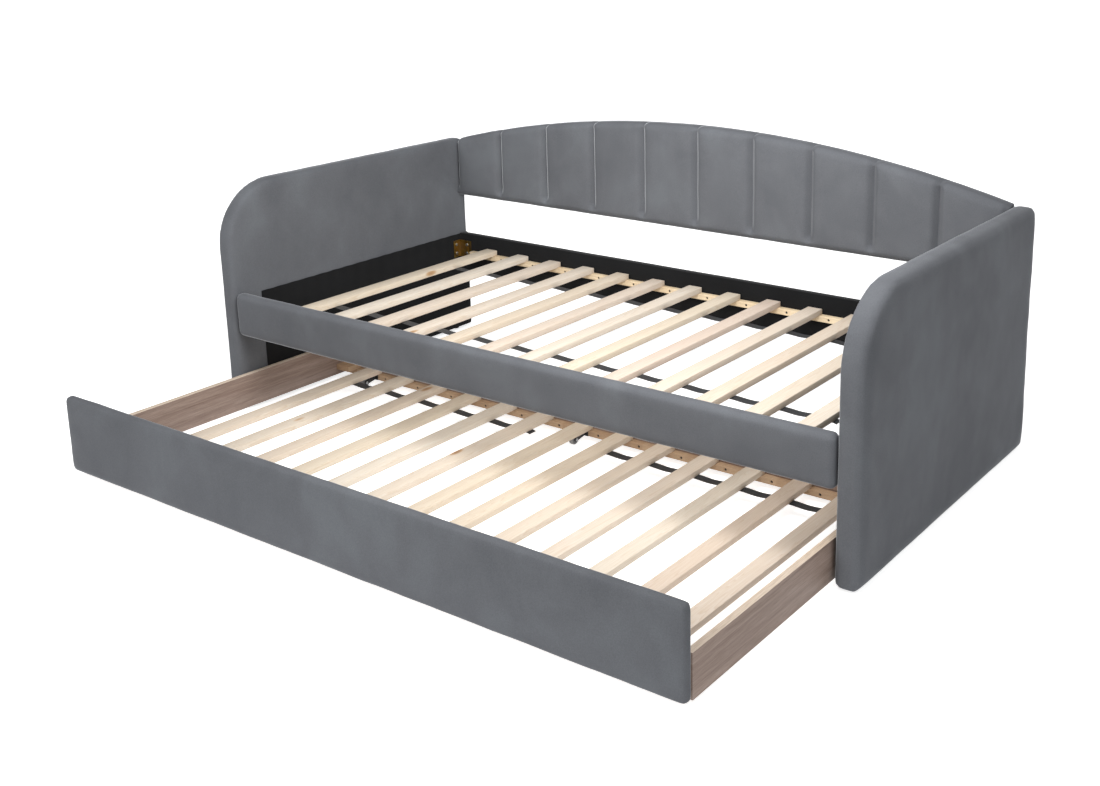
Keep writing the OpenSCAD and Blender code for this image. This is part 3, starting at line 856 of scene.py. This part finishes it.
def makeStrap(name, low, high, slatCentres, facts):
    # ribbed tape, tight under each slat, sagging a little between, with a loose tail at each end
    start, end = low.x - facts["tail"], high.x + facts["tail"]
    across = facts["ribs"] * 4
    count = round((end - start) / facts["step"])
    deselect()
    bpy.ops.mesh.primitive_grid_add(x_subdivisions=count, y_subdivisions=across, size=1)
    piece = bpy.context.object
    piece.name = name
    points = readPoints(piece)
    x = start + (points[:, 0] + 0.5) * (end - start)
    side = points[:, 1] + 0.5
    y = low.y + side * (high.y - low.y)
    gap = np.min([abs(x - c) for c in slatCentres], axis=0)
    half = slatWidth / 2
    free = np.clip((gap - half) / (facts["halfPitch"] - half), 0, 1)
    inside = (x > low.x) & (x < high.x)
    sag = np.where(inside, facts["sag"] * np.sin(free * math.pi / 2) ** 2, 0)
    past = np.maximum(np.maximum(min(slatCentres) - half - x, x - max(slatCentres) - half), 0)
    droop = facts["droop"] * (past / facts["tail"]) ** facts["droopPower"]
    z = high.z - facts["hang"] - sag - droop + facts["rib"] * np.cos(side * facts["ribs"] * 2 * math.pi)
    writePoints(piece, np.column_stack([x, y, z]))
    applyModifier(piece, "SOLIDIFY", thickness=high.z - low.z - facts["thinner"], offset=-1)
    return piece


def makeStraps(name, node, body, lots):
    low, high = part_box(node)
    width = strapFacts["width"]
    tapes = []
    for rear in (False, True):
        edge = high.y - width if rear else low.y
        for centres in lots:
            first = Vector((min(centres) - slatWidth / 4, edge, low.z))
            last = Vector((max(centres) + slatWidth / 4, edge + width, high.z))
            tapes.append(makeStrap("tape", first, last, centres, strapFacts))
    return finishPiece(joinPieces(tapes, name), body, "webbing", [node], 50)


slatCentres = [sum((p.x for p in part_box(n))) / 2 for n in deckSlats]
makeStraps("deckStraps", "deck_straps", "bed", [slatCentres])
makeStraps("trundleStraps", "trundle_straps", "trundle", [slatCentres[:6], slatCentres[7:]])
print("straps laid")


liningFacts = {
    "cell": 0.012,
    "rows": 28,
    "thick": 0.0008,
    "clear": 0.0002,             # CAD lining's face to the cloth's, towards the arm
    "ripple": 0.0009,
    "fade": 0.12,                # the ripple dies away over about this height below the staples
    "left": 0.12,                # share of it that is left further down
    "staple": 0.055,
    "pull": 0.0012,              # how far the upper edge hangs down between two staples
    "short": 0.008,              # how far the cloth ends before the arm does
    "foldRadius": 0.016,
}


def makeLining(node, name, rests, facts):
    # black cloth stapled along its upper edge, with a low ripple between the staples, and
    # turned round the arm's rear and lower edges
    low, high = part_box(node)
    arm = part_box(rests)
    side = 1 if low.x > 0 else -1
    inner = low.x if side > 0 else high.x
    rear, foot = arm[1].y - facts["short"], arm[0].z + facts["short"]
    deselect()
    across = round((rear - low.y) / facts["cell"])
    bpy.ops.mesh.primitive_grid_add(x_subdivisions=across, y_subdivisions=facts["rows"], size=1)
    piece = bpy.context.object
    piece.name = name
    points = readPoints(piece)
    y = low.y + (points[:, 0] + 0.5) * (rear - low.y)
    z = foot + (points[:, 1] + 0.5) * (high.z - foot)
    scallop = np.sin(math.pi * y / facts["staple"]) ** 2
    near = np.clip(1 - (high.z - z) / facts["fade"], facts["left"], 1)
    radius = facts["foldRadius"]
    turned = 0
    for past in (y - (arm[1].y - radius), arm[0].z + radius - z):
        past = np.clip(past, 0, radius)
        turned = turned + radius - np.sqrt(radius ** 2 - past ** 2)
    x = np.full_like(y, inner) + side * (facts["clear"] + facts["ripple"] * near * scallop + turned)
    z = z - facts["pull"] * scallop * (points[:, 1] > 0.49)
    writePoints(piece, np.column_stack([x, y, z]))
    applyModifier(piece, "SOLIDIFY", thickness=facts["thick"], offset=1)
    return finishPiece(piece, "bed", "black_cloth", [node], 60)


makeLining("left_arm_lining", "leftArmLining", "left_arm_cover", liningFacts)
makeLining("right_arm_lining", "rightArmLining", "right_arm_cover", liningFacts)


rearRail = {
    "cuts": 160,
    "edge": 0.0025,
    "wave": 0.0005,              # the cloth's slack on the front face
    "topWave": 0.0004,           # and on the upper edge
    "waves": (6, 9),             # how many to a metre, along the rail and up it
    "sink": 0.0006,              # the front face set back, to leave room for them
}


def makeRearRail(facts):
    # the rear rail's board wrapped in black cloth, folded round its ends
    low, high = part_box("rear_rail_cloth")
    piece = addBox("rearRailCloth", low, high)
    pickEdges(piece, lambda a, b: abs(a.x - b.x) > onLine)
    bpy.ops.mesh.subdivide(number_cuts=facts["cuts"])
    bpy.ops.object.mode_set(mode="OBJECT")
    applyModifier(piece, "BEVEL", width=facts["edge"], segments=3, limit_method="ANGLE")
    points = readPoints(piece)
    face = (low.y + high.y) / 2
    along, upward = facts["waves"]
    wave = np.array([noise.noise(Vector((p[0] * along, p[2] * upward, 0.5))) for p in points])
    points[:, 1] += np.where(points[:, 1] < face, facts["sink"] + facts["wave"] * wave, 0)
    points[:, 2] += np.where(points[:, 2] > high.z - onLine, facts["topWave"] * (wave - 1), 0)
    writePoints(piece, points)
    return finishPiece(piece, "bed", "black_cloth", ["rear_rail_cloth"])


makeRearRail(rearRail)
print("linings and rear rail done")

# node, body, slot, width of its eased edges
fittings = [
    ("trundle_left_board", "trundle", "drawer_board", 0.0008),
    ("trundle_right_board", "trundle", "drawer_board", 0.0008),
    ("trundle_rear_board", "trundle", "drawer_board", 0.0008),
    ("trundle_front_ledger", "trundle", "ledger_timber", 0.0008),
    ("trundle_rear_ledger", "trundle", "ledger_timber", 0.0008),
    ("trundle_blocks", "trundle", "ledger_timber", 0.001),
    ("front_ledger", "bed", "ledger_pine", 0.0008),
    ("rear_ledger", "bed", "ledger_pine", 0.0008),
    ("front_left_bracket", "bed", "yellow_zinc", 0.0006),
    ("front_right_bracket", "bed", "yellow_zinc", 0.0006),
    ("rear_left_bracket", "bed", "yellow_zinc", 0.0006),
    ("rear_right_bracket", "bed", "yellow_zinc", 0.0006),
    ("bracket_bolts", "bed", "bright_steel", 0.0005),
    ("arm_glides", "bed", "glide_plastic", 0.001),
    ("caster_forks", "trundle", "fork_steel", 0.0004),
    ("caster_axles", "trundle", "bright_steel", 0.0003),
] + [(name, name, "wheel_plastic", 0.0006) for name in nodes if name.endswith("_wheel")]
for name, body, slot, width in fittings:
    softened = softenNode(name, body, slot, width)
    if slot == "drawer_board":
        # the film ends at a pale band along the upper edge
        if name == "trundle_rear_board":
            softened.data.materials[0] = materials["drawer_board_across"]
        softened.data.materials.append(materials["board_edge"])
        for face in softened.data.polygons:
            if face.normal.z > 0.6:
                face.material_index = 1
print("boards and fittings softened")
